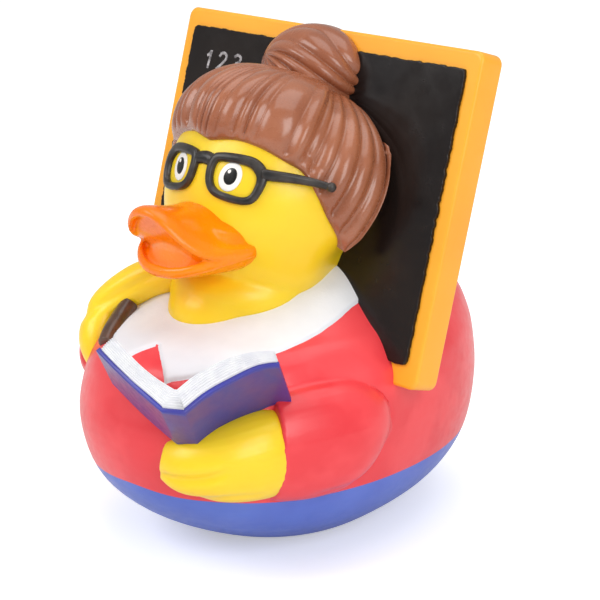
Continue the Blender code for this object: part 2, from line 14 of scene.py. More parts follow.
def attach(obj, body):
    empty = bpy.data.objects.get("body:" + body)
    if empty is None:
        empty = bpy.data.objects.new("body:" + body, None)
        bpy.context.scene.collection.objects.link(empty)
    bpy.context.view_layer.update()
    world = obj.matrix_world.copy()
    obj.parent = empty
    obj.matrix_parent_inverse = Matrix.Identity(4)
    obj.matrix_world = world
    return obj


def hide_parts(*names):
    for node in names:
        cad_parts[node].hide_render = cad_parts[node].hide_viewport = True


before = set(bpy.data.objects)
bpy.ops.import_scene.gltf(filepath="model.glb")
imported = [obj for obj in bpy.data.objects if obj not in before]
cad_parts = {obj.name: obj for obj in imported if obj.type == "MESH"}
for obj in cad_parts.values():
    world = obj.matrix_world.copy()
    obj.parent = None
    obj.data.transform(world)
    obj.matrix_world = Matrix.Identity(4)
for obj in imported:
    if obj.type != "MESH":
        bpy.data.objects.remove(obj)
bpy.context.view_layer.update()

MM = 0.001

# Body: heights of its sections, and at each the reach to the front, the back and the side.
BODY_SECTIONS = (
    (0.0, -17.0, 12.5, 12.0),
    (1.0, -22.8, 17.5, 16.0),
    (3.5, -29.8, 24.4, 20.9),
    (9.0, -39.8, 33.2, 27.3),
    (16.5, -47.2, 38.6, 31.4),
    (27.0, -50.4, 40.4, 32.9),
    (36.0, -48.5, 40.1, 31.8),
    (41.2, -45.5, 39.0, 29.7),
    (44.0, -40.5, 37.6, 28.0),
    (46.0, -33.0, 35.8, 25.8),
    (49.5, -24.0, 32.0, 21.7),
    (53.5, -16.0, 23.0, 16.7),
    (56.5, -8.0, 10.0, 10.0),
)
BODY_MIDDLE = -5.5
BODY_SQUARENESS = 2.1
PAINT_LINE = 16.5
PAINT_LINE_WAVE = 0.25
PAINT_LINE_CREST = 2.1
PAINT_LINE_CREST_WIDTH = 16.0
PAINT_LINE_CREST_FADE = 20.0
BODY_VOXEL = 0.52

# Soft swells of the body: a place, a size and a height each.
SWELLS = (
    ((33.0, -11.0, 38.0), 7.5, 2.2),
    ((-33.0, -11.0, 38.0), 7.5, 2.2),
    ((-11.5, -26.0, 49.0), 5.5, 1.7),
)

# Head and neck.
HEAD_CENTRE = np.array((0.0, -8.0, 66.0))
HEAD_RADII = np.array((21.0, 21.4, 24.0))
NECK_CENTRE = np.array((-0.3, -12.0, 47.0))
NECK_RADII = np.array((13.4, 20.9, 11.0))
THROAT_CENTRE = np.array((0.0, -14.0, 50.5))
THROAT_RADII = np.array((15.0, 17.0, 8.5))
HEAD_VOXEL = 0.6
JAW_TOP = 64.0
JAW_DEPTH = 7.0
JAW_FRONT = -18.0
JAW_LENGTH = 14.0
JAW_TAPER = 0.2

# Chalkboard.
BOARD_WIDTH = 78.0
BOARD_LENGTH = 64.5
BOARD_THICKNESS = 6.5
BOARD_TOP_Y = 8.2
BOARD_TOP_Z = 98.0
BOARD_LEAN = math.radians(16.6)
BOARD_CORNER = 1.9
BOARD_EDGE = 0.7
FRAME_SIDE = 3.0
FRAME_TOP = 3.7
FRAME_BOTTOM = 4.2
PANEL_PROUD = 0.8
NUMERAL_CORNER = np.array((-31.6, -12.2))
NUMERAL_PITCH = 4.1
CHALK_WIDTH = 0.62
CHALK_SLANT = 0.12
CHALK_PROUD = 0.07
NUMERALS = (
    ((0.7, 2.6), (1.2, 3.0), (1.6, 3.6), (1.6, 2.4), (1.6, 1.2), (1.6, 0.0)),
    ((0.1, 2.8), (0.5, 3.5), (1.4, 3.6), (2.1, 3.0), (1.9, 2.2), (1.0, 1.1), (0.1, 0.1), (1.2, 0.1),
     (2.5, 0.2)),
    ((0.2, 3.2), (1.0, 3.7), (2.0, 3.2), (1.8, 2.3), (1.0, 1.9), (1.9, 1.6), (2.3, 0.9), (1.6, 0.1),
     (0.6, 0.0), (0.0, 0.5)),
)

# Collar outline seen from above: smooth runs that meet at sharp corners.
COLLAR_RUNS = (
    ((21.4, -3.5), (22.8, -16.0), (21.2, -28.2), (17.5, -36.5), (14.0, -41.2), (11.3, -43.6)),
    ((11.3, -43.6), (8.3, -45.6)),
    ((8.3, -45.6), (1.1, -40.4)),
    ((1.1, -40.4), (-3.0, -45.4)),
    ((-3.0, -45.4), (-9.2, -43.2), (-19.5, -27.5), (-22.5, -15.0), (-21.4, -3.5)),
)
COLLAR_LOWEST = 39.0
COLLAR_PROUD = 0.5
COLLAR_STEP = 0.5
COLLAR_WAVE = 0.12

# Arms and hands: middle points with their radii outward and upward.
LEFT_SLEEVE = (
    (28.8, -10.4, 27.5, 1.8, 2.0),
    (29.4, -11.3, 27.5, 3.8, 4.0),
    (29.4, -14.3, 28.0, 6.0, 7.3),
    (29.0, -19.2, 28.2, 7.4, 10.3),
    (27.6, -24.5, 28.0, 7.6, 11.1),
    (25.6, -30.0, 27.8, 7.3, 10.9),
    (23.9, -33.8, 28.0, 7.0, 10.2),
)

# Crease round the left sleeve: its outline from the side, as (y, z), and where it fades out.
SLEEVE_OUTLINE = (
    (-44.0, 36.0), (-28.4, 37.9), (-25.8, 38.8), (-21.2, 39.4), (-16.7, 38.4), (-13.0, 35.8),
    (-10.9, 32.1), (-11.0, 29.1), (-13.0, 24.4), (-16.4, 20.7), (-21.1, 19.1), (-26.1, 18.9),
    (-44.0, 18.9),
)
SLEEVE_CREASE_DEPTH = 0.35
SLEEVE_CREASE_WIDTH = 0.8
SLEEVE_CREASE_FRONT = -31.0
SLEEVE_CREASE_TOP = 33.0
SLEEVE_CREASE_FADE = 5.0
SLEEVE_CREASE_SIDE = 15.0

LEFT_HAND = (
    (26.2, -29.0, 27.6, 5.0, 7.0),
    (23.8, -35.2, 27.1, 6.9, 8.6),
    (20.0, -41.5, 26.2, 7.0, 7.8),
    (15.0, -46.7, 25.8, 5.4, 5.9),
    (11.3, -49.0, 26.3, 2.7, 3.6),
)

# Grooves between the fingers: a route as (x, z), a depth, a width and the x where it ends.
FINGER_GROOVES = (
    (((11.0, 24.2), (16.0, 24.3), (21.5, 25.1), (25.0, 26.6)), 1.0, 1.1, 27.5),
    (((12.0, 22.0), (17.5, 19.9), (26.0, 21.3)), 0.55, 0.8, 29.0),
)
FINGER_START = 10.5
FINGER_START_FADE = 4.5
FINGER_END_FADE = 6.0
HAND_VOXEL = 0.4

RIGHT_SLEEVE = (
    (-26.8, -8.0, 31.0, 4.0, 5.0),
    (-28.0, -13.0, 33.0, 6.0, 8.5),
    (-27.0, -22.0, 34.0, 6.5, 9.5),
    (-23.8, -30.2, 35.4, 6.2, 8.2),
    (-20.4, -35.0, 36.4, 4.7, 5.2),
)
RIGHT_HAND = (
    (-16.5, -39.0, 34.5, 1.8, 2.4),
    (-20.0, -37.0, 39.0, 3.6, 4.0),
    (-21.4, -33.6, 44.0, 3.9, 4.3),
    (-18.2, -30.8, 48.5, 3.9, 4.1),
    (-13.4, -27.6, 51.7, 3.9, 4.0),
    (-8.0, -23.0, 52.5, 3.4, 3.6),
)
STRAP_VOXEL = 0.3
STRAP = (
    (-15.4, -32.2, 47.1, 1.7, 1.7),
    (-15.0, -34.9, 44.9, 2.0, 2.0),
    (-13.3, -38.9, 43.1, 2.0, 2.0),
    (-12.2, -41.6, 41.5, 1.7, 1.7),
)

# Soft fold across the right arm: a place on it, the way across it, its width and depth.
RIGHT_FOLD_PLACE = np.array((-28.2, -26.5, 43.0))
RIGHT_FOLD_ACROSS = np.array((-0.52, -0.12, 0.846))
RIGHT_FOLD_WIDTH = 1.2
RIGHT_FOLD_DEPTH = 0.6

# Hair: rises of the hairline over the head's centre at angles from the face.
HAIRLINE = (
    (0.0, 14.8),
    (20.0, 15.4),
    (38.0, 14.2),
    (54.0, 11.6),
    (62.0, 9.7),
    (68.0, 5.8),
    (73.0, 1.5),
    (80.0, -3.0),
    (84.0, -5.8),
    (88.0, -3.4),
    (97.0, 0.2),
    (110.0, 3.4),
    (130.0, 5.0),
    (180.0, 5.0),
)
FRINGE_THICKNESS = (
    (0.0, 1.0), (0.025, 2.2), (0.07, 3.2), (0.21, 4.8), (0.42, 3.6), (0.68, 1.5), (1.0, 0.4),
)
SIDE_THICKNESS = ((0.0, 1.0), (0.04, 2.0), (0.12, 3.2), (0.4, 5.4), (0.7, 3.6), (1.0, 0.4))
CROWN_DIRECTION = np.array((0.06, 0.54, 0.84))
CROWN_SHARE = 0.95
HAIR_COLUMNS = 720
HAIR_ROWS = 70
STRANDS = 40
STRAND_DEPTH = 1.25
LOCK_ANGLE = 60.0
LOCK_STEP = 2.4
SIDE_STRANDS = 5.0
BUN_CENTRE = np.array((0.0, 4.4, 90.0))
BUN_RADII = np.array((10.8, 10.0, 8.85))
BUN_AXIS = np.array((-0.62, -0.7, 0.35))
BUN_RIBS = 13
BUN_TWIST = 0.6
BUN_GROOVE = 1.1

# Glasses: rim outlines as (across, rise over the head's centre), from the glasses' middle.
GLASSES_MIDDLE = 0.7
RIM_OUTER = (
    (1.4, 10.0), (1.6, 12.3), (2.9, 13.3), (6.5, 13.4), (9.6, 12.8), (11.6, 11.2),
    (12.3, 9.4), (12.1, 7.2), (11.2, 5.2), (9.6, 4.6), (6.5, 5.0), (3.6, 5.9), (2.0, 7.6),
)
RIM_INNER = (
    (2.8, 10.0), (3.0, 11.5), (3.9, 11.9), (6.8, 11.8), (9.0, 11.3), (10.3, 10.2),
    (10.8, 9.0), (10.7, 7.6), (10.2, 6.4), (9.0, 6.0), (6.6, 6.4), (4.4, 7.0), (3.2, 8.2),
)
GLASSES_DROP = 0.3
RIM_PROUD = 1.1
RIM_SECTION = (
    (0.0, -1.2), (0.0, 0.45), (0.07, 0.78), (0.22, 0.98), (0.5, 1.0), (0.78, 0.98), (0.93, 0.78),
    (1.0, 0.45), (1.0, -1.2),
)
BRIDGE_RISE = 11.6
BRIDGE_HALF_WIDTH = 2.4
BRIDGE_HALF_HEIGHT = 1.15
TEMPLE_ROUTE = (
    (12.4, -23.6, 76.0), (14.9, -21.9, 75.7), (17.0, -19.9, 75.3), (19.4, -17.5, 74.6),
    (21.9, -15.8, 73.9),
)
TEMPLE_HALF_HEIGHT = 1.15
TEMPLE_HALF_THICKNESS = 0.8
TEMPLE_TAPER = 0.4
TEMPLE_BALL_RADIUS = 0.95
TEMPLE_BALL_OFFSET = np.array((0.6, 0.2, -0.1))
FAR_TEMPLE_SHARE = np.array((0.86, 0.9, 1.0))

# Eyes, each of three ovals: a name, an offset from the eye's middle, half sizes, how far it
# stands proud, its material and its slot.
EYE_ACROSS = 6.45
EYE_SHIFT = 0.4
EYE_RISE = 9.1
EYE_OVALS = (
    ("eye_white_", (0.0, 0.0), (2.15, 2.6), 0.14, "eye", "collar_white"),
    ("pupil_", (0.1, 0.1), (1.25, 1.55), 0.22, "pupil", "glasses_black"),
    ("glint_", (-0.25, 0.95), (0.32, 0.36), 0.3, "eye", "collar_white"),
)
OVAL_LEVELS = ((1.0, -0.4), (1.0, 0.3), (0.97, 0.75), (0.9, 0.9), (0.6, 1.0), (0.2, 1.0))

# Bill.
BILL_CORNER = np.array((11.7, -24.7, 61.7))
BILL_ROOT_ACROSS = 8.9
BILL_ROOT_Y = -20.0
BILL_PLAN_SQUARENESS = 2.25
UPPER_REACH = 16.6
UPPER_ROOT_RISE = 6.8
UPPER_TIP_RISE = 8.1
UPPER_TIP_SHARPNESS = 4.5
UPPER_FAR_SHARPNESS = 3.2
UPPER_THICKNESS = 2.3
UPPER_BOW = -0.9
UPPER_CHIN_DROP = 5.5
UPPER_CHIN_BACK = 5.0
LOWER_REACH = 13.8
LOWER_TIP_DROP = 3.6
LOWER_ROLL = 1.15
LOWER_ROOT_DEPTH = 2.0
LOWER_BELLY = 3.2
LOWER_CORNER_DROP = 0.5
BILL_END_SHARE = 0.55
BILL_END_REACH = 0.3
BILL_VOXEL = 0.35
DISC_RISE = 4.6
DISC_BACK = 5.0
DISC_CENTRE = np.array((-0.9, -35.9, 61.0))
DISC_HALF_WIDTH = 6.6
DISC_HALF_HEIGHT = 3.2
DISC_DEPTH = 2.2

# Open book: where its spine stands, how it is turned and leans, and its halves' section.
BOOK_SPINE = np.array((16.7, -48.4, 30.5))
BOOK_TURN = math.radians(29.8)
BOOK_LEAN = math.radians(42.5)
BOOK_HEIGHT = 13.5
COVER_THICKNESS = 0.9
LEFT_HALF = ((-1.7, 0.0), (-9.2, 5.3), (-16.5, 11.2))
RIGHT_HALF = ((2.4, 0.0), (5.8, 4.0), (9.8, 7.2), (14.0, 10.0), (17.7, 11.0))
LEFT_PAGES = ((-0.2, 4.5), (-6.9, 8.4), (-14.0, 14.6))
RIGHT_PAGES = ((0.2, 4.5), (2.9, 7.6), (7.3, 11.1), (12.3, 13.2), (16.8, 13.8))
PAGE_LAYERS = 8
PAGE_RIDGE = 0.35
BOOK_SAG = 1.4
COVER_BORDER = 0.9

# Camera.
CAMERA_TARGET = np.array((0.0, 0.0, 43.5))
CAMERA_AZIMUTH = math.radians(43.0)
CAMERA_ELEVATION = math.radians(17.5)
CAMERA_DISTANCE = 405.0
CAMERA_LENS = 120.0

# Floor and lights: each light's name, place, size and power.
FLOOR_REACH = 3.0
FLOOR_GLOW = 0.4
WORLD_STRENGTH = 0.48
LIGHT_TARGET = (0.0, 0.0, 0.05)
LIGHTS = (
    ("key", (-0.35, -0.75, 0.75), (0.7, 0.5), 4.6),
    ("side", (0.85, -0.35, 0.5), (0.5, 0.6), 4.2),
    ("top", (0.1, 0.1, 1.0), (0.8, 0.8), 3.6),
)

# Paints: two screen colours, their roughness, the scale per millimetre of patches and grain, the
# bump in millimetres and the gloss coat. Some go on with a glow from inside, the edge of their
# patches and their specular level.
PAINTS = (
    ("vinyl_yellow", (253, 216, 36), (250, 207, 26), (0.3, 0.42), 0.04, 0.5, 0.02, 0.12, 0.2),
    ("paint_red", (238, 68, 74), (230, 54, 62), (0.28, 0.42), 0.06, 0.5, 0.03, 0.2, 0.0, 0.05),
    ("paint_blue", (88, 116, 206), (76, 102, 194), (0.3, 0.42), 0.07, 0.5, 0.03, 0.15),
    ("paint_white", (234, 236, 241), (224, 226, 232), (0.4, 0.55), 0.08, 0.9, 0.05, 0.05),
    ("paint_page", (232, 232, 234), (220, 220, 226), (0.4, 0.55), 0.5, 0.9, 0.05, 0.05),
    ("paint_orange", (255, 144, 0), (252, 122, 0), (0.22, 0.32), 0.06, 0.4, 0.015, 0.4, 0.08, 0.15,
     0.2),
    ("paint_disc", (255, 152, 50), (253, 138, 42), (0.22, 0.32), 0.06, 0.4, 0.02, 0.25),
    ("paint_brown", (165, 101, 70), (147, 85, 56), (0.2, 0.34), 0.09, 0.5, 0.03, 0.4),
    ("paint_black", (20, 18, 18), (58, 52, 48), (0.3, 0.45), 0.35, 0.8, 0.03, 0.1),
    ("paint_pupil", (8, 7, 7), (12, 11, 11), (0.2, 0.3), 0.3, 0.8, 0.01, 0.05),
    ("paint_eye", (248, 246, 240), (244, 241, 236), (0.2, 0.3), 0.2, 0.8, 0.01, 0.3),
    ("paint_cover", (56, 52, 138), (96, 58, 122), (0.28, 0.42), 0.12, 0.6, 0.03, 0.2),
    ("paint_border", (44, 50, 160), (58, 56, 146), (0.28, 0.42), 0.2, 0.6, 0.03, 0.2),
    ("paint_frame", (252, 174, 44), (246, 166, 40), (0.32, 0.45), 0.04, 0.4, 0.03, 0.1),
    ("paint_slate", (20, 15, 15), (30, 23, 20), (0.16, 0.28), 0.05, 0.25, 0.03, 0.0, 0.0, 0.15,
     0.3),
    ("paint_chalk", (188, 184, 186), (96, 92, 94), (0.6, 0.8), 0.9, 1.5, 0.05, 0.0),
    ("paint_strap", (92, 62, 44), (70, 46, 34), (0.25, 0.4), 0.2, 0.6, 0.03, 0.3),
)


# Curves and surfaces


def spline(points, per_span, closed=False):
    """A smooth curve through points, with per_span steps between each two."""
    pts = np.array(points, float)
    count = len(pts)
    spans = count if closed else count - 1
    steps = np.linspace(0.0, 1.0, per_span, endpoint=False)[:, None]
    rows = []
    for i in range(spans):
        if closed:
            a, b, c, d = (pts[(i + k) % count] for k in (-1, 0, 1, 2))
        else:
            a, b, c, d = (pts[min(max(i + k, 0), count - 1)] for k in (-1, 0, 1, 2))
        square = 2.0 * a - 5.0 * b + 4.0 * c - d
        cubic = 3.0 * b - a - 3.0 * c + d
        rows.append(0.5 * (2.0 * b + (c - a) * steps + square * steps ** 2 + cubic * steps ** 3))
    if not closed:
        rows.append(pts[-1:])
    return np.concatenate(rows)


def eased(share):
    share = np.clip(share, 0.0, 1.0)
    return share * share * (3.0 - 2.0 * share)


def smooth_table(table, position):
    """A table read through a smooth curve instead of straight lines."""
    curve = spline(table, 12)
    return np.interp(position, curve[:, 0], curve[:, 1])


def skin(rings, capped=True, closed=False):
    """Points and faces of a surface through rings of equally many points."""
    rings = np.array(rings, float)
    count, around = rings.shape[:2]
    index = np.arange(count * around).reshape(count, around)
    lower = index if closed else index[:-1]
    upper = np.roll(index, -1, axis=0) if closed else index[1:]
    across = (np.roll(lower, -1, axis=1), np.roll(upper, -1, axis=1))
    quads = np.stack((lower, *across, upper), axis=-1)
    faces = quads.reshape(-1, 4).tolist()
    if capped:
        faces.append(index[0][::-1].tolist())
        faces.append(index[-1].tolist())
    return rings.reshape(-1, 3), faces


def raw_mesh(name, points, faces):
    mesh = bpy.data.meshes.new(name)
    mesh.from_pydata((np.asarray(points) * MM).tolist(), [], faces)
    bm = bmesh.new()
    bm.from_mesh(mesh)
    bmesh.ops.recalc_face_normals(bm, faces=bm.faces)
    bm.to_mesh(mesh)
    bm.free()
    return mesh


def finish_piece(name, mesh, material):
    """The object of a mesh: shaded smooth, on the duck's body, in place of its solid."""
    mesh.name = name
    if not mesh.materials:
        mesh.materials.append(material)
    mesh.shade_smooth()
    piece = bpy.data.objects.new(name, mesh)
    bpy.context.scene.collection.objects.link(piece)
    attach(piece, "root")
    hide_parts("duck")
    return piece


def make_piece(name, points, faces, material):
    return finish_piece(name, raw_mesh(name, points, faces), material)


def relaxed(points, edges, rounds):
    """Points moved towards their neighbours and back out, which smooths without shrinking."""
    points = points.copy()
    valence = np.bincount(edges.ravel(), minlength=len(points))[:, None]
    for step in range(2 * rounds):
        total = np.zeros_like(points)
        np.add.at(total, edges[:, 0], points[edges[:, 1]])
        np.add.at(total, edges[:, 1], points[edges[:, 0]])
        share = 0.55 if step % 2 == 0 else -0.56
        points += share * (total / valence - points)
    return points


def moulded(parts, voxel, rounds):
    """One soft skin over several closed shapes, as points and faces."""
    points = np.concatenate([part[0] for part in parts])
    faces = []
    base = 0
    for part_points, part_faces in parts:
        faces += [[base + i for i in face] for face in part_faces]
        base += len(part_points)
    mesh = raw_mesh("moulded", points, faces)
    holder = bpy.data.objects.new("moulded", mesh)
    bpy.context.scene.collection.objects.link(holder)
    modifier = holder.modifiers.new("remesh", "REMESH")
    modifier.mode = "VOXEL"
    modifier.voxel_size = voxel * MM
    graph = bpy.context.evaluated_depsgraph_get()
    result = bpy.data.meshes.new_from_object(holder.evaluated_get(graph))
    bpy.data.objects.remove(holder, do_unlink=True)
    coords = np.empty(len(result.vertices) * 3)
    result.vertices.foreach_get("co", coords)
    edges = np.empty(len(result.edges) * 2, dtype=np.int64)
    result.edges.foreach_get("vertices", edges)
    corners = np.empty(len(result.loops), dtype=np.int64)
    result.loops.foreach_get("vertex_index", corners)
    bpy.data.meshes.remove(result)
    smooth = relaxed(coords.reshape(-1, 3) / MM, edges.reshape(-1, 2), rounds)
    return smooth, corners.reshape(-1, 4)


def point_normals(points, quads):
    across = points[quads[:, 2]] - points[quads[:, 0]]
    along = points[quads[:, 3]] - points[quads[:, 1]]
    flat = np.cross(across, along)
    normals = np.zeros_like(points)
    for k in range(4):
        np.add.at(normals, quads[:, k], flat)
    return normals / np.maximum(np.linalg.norm(normals, axis=1), 1e-9)[:, None]


def split_at_zero(points, faces, values):
    """Cuts faces where the values cross zero, so that a painted edge is an edge of the mesh."""
    points = [tuple(point) for point in points]
    values = list(values)
    cuts = {}

    def cut(a, b):
        key = (min(a, b), max(a, b))
        if key not in cuts:
            share = values[a] / (values[a] - values[b])
            points.append(tuple(p + (q - p) * share for p, q in zip(points[a], points[b])))
            cuts[key] = len(points) - 1
        return cuts[key]

    result = []
    sides = []
    for face in faces:
        signs = [values[i] >= 0.0 for i in face]
        if all(signs) or not any(signs):
            result.append(list(face))
            sides.append(signs[0])
            continue
        halves = ([], [])
        for k, here in enumerate(face):
            following = face[(k + 1) % len(face)]
            halves[signs[k]].append(here)
            if signs[k] != signs[(k + 1) % len(face)]:
                middle = cut(here, following)
                halves[0].append(middle)
                halves[1].append(middle)
        for side, half in enumerate(halves):
            if len(half) > 2:
                result.append(half)
                sides.append(bool(side))
    return np.array(points), result, sides


def wobble(points, size, seed):
    """A smooth random-looking value from -1 to 1 over space, the same on every run."""
    source = np.random.default_rng(seed)
    total = np.zeros(len(points))
    for _ in range(6):
        wave = source.normal(size=3) * 2.0 * math.pi / size
        total += np.sin(points @ wave + source.uniform(0.0, 2.0 * math.pi))
    return total / 6.0


# Shared places


def board_point(across, up, out):
    y = BOARD_TOP_Y + up * math.sin(BOARD_LEAN) - out * math.cos(BOARD_LEAN)
    z = BOARD_TOP_Z + up * math.cos(BOARD_LEAN) + out * math.sin(BOARD_LEAN)
    return np.array((across, y, z))


def pressed_on_board(points):
    """Points moved forward where they would lie behind the middle of the board."""
    behind = (points[:, 2] - BOARD_TOP_Z) * math.tan(BOARD_LEAN)
    limit = BOARD_TOP_Y + behind + BOARD_THICKNESS / 2.0 / math.cos(BOARD_LEAN)
    pressed = points.copy()
    pressed[:, 1] = np.minimum(points[:, 1], limit)
    return pressed


def head_point(angle, rise, proud):
    """A point of the head at an angle from the face towards the duck's left."""
    level = math.sqrt(max(1.0 - (rise / HEAD_RADII[2]) ** 2, 0.0))
    across, back, _ = HEAD_RADII * level
    spoke = np.array((across * math.sin(angle), -back * math.cos(angle), rise))
    normal = spoke / HEAD_RADII ** 2
    return HEAD_CENTRE + spoke + normal / np.linalg.norm(normal) * proud


def face_point(across, rise, proud):
    level = math.sqrt(1.0 - (rise / HEAD_RADII[2]) ** 2)
    return head_point(math.asin(across / (HEAD_RADII[0] * level)), rise, proud)


def egg(centre, radii, segments=64, rings=40):
    polar = np.linspace(0.0, math.pi, rings + 2)[1:-1]
    turn = np.linspace(0.0, 2.0 * math.pi, segments, endpoint=False)
    sections = []
    for p in polar:
        height = np.full(segments, -math.cos(p))
        section = np.stack((math.sin(p) * np.cos(turn), math.sin(p) * np.sin(turn), height), axis=1)
        sections.append(centre + section * radii)
    return skin(sections)


def limb(stations, per_span=6, around=32):
    """A soft arm through middle points, each with a radius outward and one upward."""
    rows = spline(stations, per_span)
    middles = rows[:, :3]
    ahead = np.gradient(middles, axis=0)
    ahead /= np.linalg.norm(ahead, axis=1)[:, None]
    side = np.cross(ahead[0], (0.0, 0.0, 1.0))
    turn = np.linspace(0.0, 2.0 * math.pi, around, endpoint=False)[:, None]
    rings = []
    for middle, forward, (outward, upward) in zip(middles, ahead, rows[:, 3:]):
        side = side - forward * (side @ forward)
        side /= np.linalg.norm(side)
        lift = np.cross(side, forward)
        rings.append(middle + side * outward * np.cos(turn) + lift * upward * np.sin(turn))
    return skin(rings)


# Materials


def node(tree, kind, **settings):
    made = tree.nodes.new(kind)
    for key, value in settings.items():
        setattr(made, key, value)
    return made


def noise(tree, scale, detail, roughness=0.5):
    """A noise over the object's own space, with its scale per millimetre."""
    place = node(tree, "ShaderNodeTexCoord")
    mapping = node(tree, "ShaderNodeMapping")
    mapping.inputs["Scale"].default_value = [scale / MM] * 3
    made = node(tree, "ShaderNodeTexNoise")
    made.inputs["Scale"].default_value = 1.0
    made.inputs["Detail"].default_value = detail
    made.inputs["Roughness"].default_value = roughness
    tree.links.new(place.outputs["Object"], mapping.inputs["Vector"])
    tree.links.new(mapping.outputs["Vector"], made.inputs["Vector"])
    return made.outputs["Fac"]


def ramp(tree, value, low, high, start, end):
    made = node(tree, "ShaderNodeMapRange")
    made.inputs["From Min"].default_value = low
    made.inputs["From Max"].default_value = high
    made.inputs["To Min"].default_value = start
    made.inputs["To Max"].default_value = end
    tree.links.new(value, made.inputs["Value"])
    return made.outputs["Result"]


def mixed(tree, factor, first, second):
    """A colour between two, by a factor's socket."""
    made = node(tree, "ShaderNodeMix", data_type="RGBA")
    tree.links.new(factor, made.inputs[0])
    made.inputs[6].default_value = (*first, 1.0)
    made.inputs[7].default_value = (*second, 1.0)
    return made.outputs[2]


def srgb(red, green, blue):
    """A linear colour from the 0 to 255 values of a screen colour."""
    values = []
    for channel in (red, green, blue):
        share = channel / 255.0
        values.append(share / 12.92 if share <= 0.04045 else ((share + 0.055) / 1.055) ** 2.4)
    return tuple(values)


def painted(name, colour, second, rough, patch, grain, bump, coat, glow=0.0, edge=0.15,
            specular=0.45):
    """Painted or bare vinyl: two close colours in soft patches, brushed grain and a thin gloss."""
    material = bpy.data.materials.new(name)
    material.use_nodes = True
    tree = material.node_tree
    shader = tree.nodes["Principled BSDF"]
    broad = noise(tree, patch, 3.0)
    fine = noise(tree, grain, 4.0, 0.6)
    mix = ramp(tree, broad, 0.5 - edge, 0.5 + edge, 0.0, 1.0)
    base = mixed(tree, mix, srgb(*colour), srgb(*second))
    tree.links.new(base, shader.inputs["Base Color"])
    tree.links.new(ramp(tree, fine, 0.3, 0.7, *rough), shader.inputs["Roughness"])
    height = node(tree, "ShaderNodeBump")
    height.inputs["Strength"].default_value = 1.0
    height.inputs["Distance"].default_value = bump * MM
    tree.links.new(fine, height.inputs["Height"])
    tree.links.new(height.outputs["Normal"], shader.inputs["Normal"])
    shader.inputs["Coat Weight"].default_value = coat
    shader.inputs["Coat Roughness"].default_value = 0.12
    shader.inputs["Specular IOR Level"].default_value = specular
    if glow:
        shader.inputs["Subsurface Weight"].default_value = glow
        shader.inputs["Subsurface Radius"].default_value = (1.0, 0.55, 0.12)
        shader.inputs["Subsurface Scale"].default_value = 2.5 * MM
    return material


def make_materials():
    """The materials by the last word of their names."""
    return {paint[0].split("_")[-1]: painted(*paint) for paint in PAINTS}


# Body, collar and sleeves


def body_ring(height, front, back, side, around=192):
    turn = np.linspace(0.0, 2.0 * math.pi, around, endpoint=False)
    across = np.sign(np.cos(turn)) * np.abs(np.cos(turn)) ** (2.0 / BODY_SQUARENESS)
    along = np.sign(np.sin(turn)) * np.abs(np.sin(turn)) ** (2.0 / BODY_SQUARENESS)
    reach = np.where(along > 0.0, back - BODY_MIDDLE, BODY_MIDDLE - front)
    return np.stack((across * side, BODY_MIDDLE + along * reach, np.full(around, height)), axis=1)


def collar_outline():
    runs = []
    for run in COLLAR_RUNS:
        runs.append(spline(run, 12)[:-1])
    return np.concatenate(runs)


def inside_outline(points, outline):
    """Distance in plan to a closed outline, positive inside it."""
    nearest = np.full(len(points), 1e9)
    inside = np.zeros(len(points), bool)
    x, y = points[:, 0], points[:, 1]
    for (ax, ay), (bx, by) in zip(outline, np.roll(outline, -1, axis=0)):
        dx, dy = bx - ax, by - ay
        share = np.clip(((x - ax) * dx + (y - ay) * dy) / (dx * dx + dy * dy), 0.0, 1.0)
        nearest = np.minimum(nearest, np.hypot(x - ax - share * dx, y - ay - share * dy))
        if ay != by:
            crosses = (ay > y) != (by > y)
            inside ^= crosses & (x < ax + (y - ay) * dx / (by - ay))
    return np.where(inside, nearest, -nearest)


def collar_value(points):
    outline = collar_outline()
    plan = inside_outline(points, outline) + COLLAR_WAVE * wobble(points, 3.0, 4)
    return np.minimum(plan, points[:, 2] - COLLAR_LOWEST)


def base_value(points):
    crest = PAINT_LINE_CREST * np.exp(-(points[:, 0] / PAINT_LINE_CREST_WIDTH) ** 2)
    crest *= eased(-points[:, 1] / PAINT_LINE_CREST_FADE)
    return PAINT_LINE + crest + PAINT_LINE_WAVE * wobble(points, 22.0, 7) - points[:, 2]


